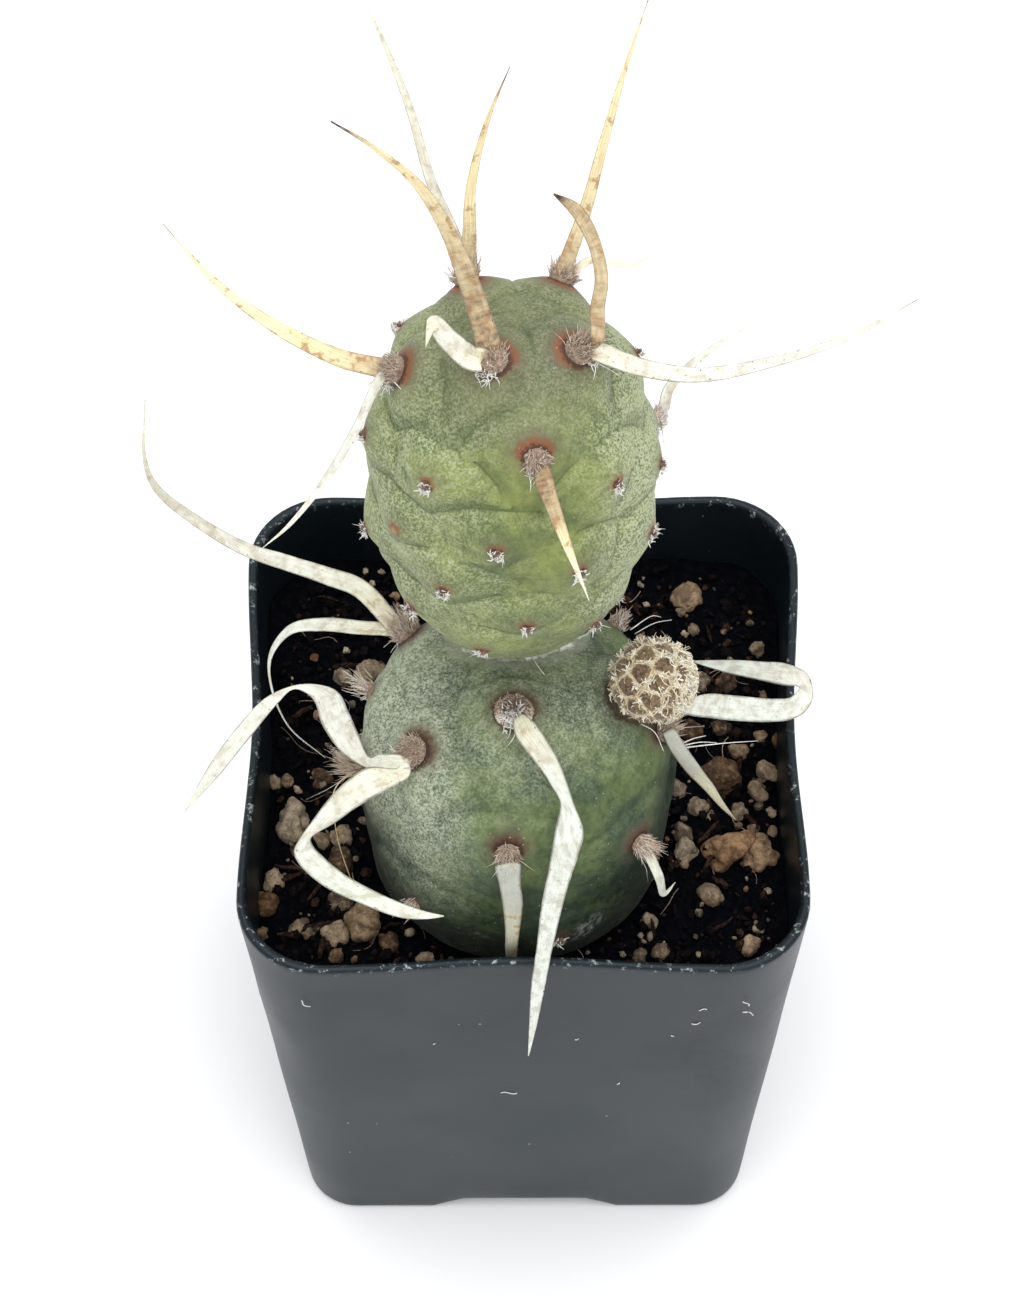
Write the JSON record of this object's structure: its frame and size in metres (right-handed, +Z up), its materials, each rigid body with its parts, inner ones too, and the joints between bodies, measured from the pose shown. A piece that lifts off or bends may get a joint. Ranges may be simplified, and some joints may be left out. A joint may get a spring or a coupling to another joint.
{
  "type": "potted paper spine cactus",
  "caption": "Small cactus of two stacked egg-shaped segments with long papery ribbon spines and a round bud, in soil in a square tapered nursery pot.",
  "frame": {"origin": "on the supporting surface, below the middle of the pot", "axes": "+Z up, -Y towards the front, where the largest felt disc of the lower segment faces, +X to the right"},
  "size_m": [0.0693, 0.0622, 0.1411],
  "materials": {
    "pot_plastic": "satin moulded plastic, slate black, with scuffed edges",
    "soil": "damp black peat mix with tan and cream pumice grains",
    "skin_old": "waxy grey-green cactus skin with a dusty bloom",
    "skin_young": "waxy yellow-green cactus skin with a mottled grey bloom",
    "bud_wool": "brown scales between straw-coloured wool",
    "spine_tan": "papery tan spine with brown mottling and dark tips",
    "spine_paper": "thin papery off-white spine with fine lengthwise lines"
  },
  "bodies": {
    "root": {"pot": "pot_plastic", "soil": "soil", "lower_segment": "skin_old", "upper_segment": "skin_young", "bud": "bud_wool", "upper_spines_crown_front": "spine_tan", "upper_spines_crown_back": "spine_tan", "upper_spines_crown_right": "spine_tan", "upper_spines_shoulder_left": "spine_tan", "upper_spines_shoulder_back": "spine_tan", "upper_spines_face_middle": "spine_tan", "upper_spines_back_high": "spine_paper", "upper_spines_back_right": "spine_paper", "upper_spines_back_left": "spine_paper", "lower_spines_disc": "spine_paper", "lower_spines_left": "spine_paper", "lower_spines_back_left": "spine_paper", "lower_spines_right": "spine_paper", "lower_spines_front": "spine_paper", "lower_spines_front_right": "spine_paper", "lower_spines_side_left": "spine_paper", "lower_spines_back": "spine_paper", "lower_spines_back_low": "spine_paper"}
  },
  "joints": []
}
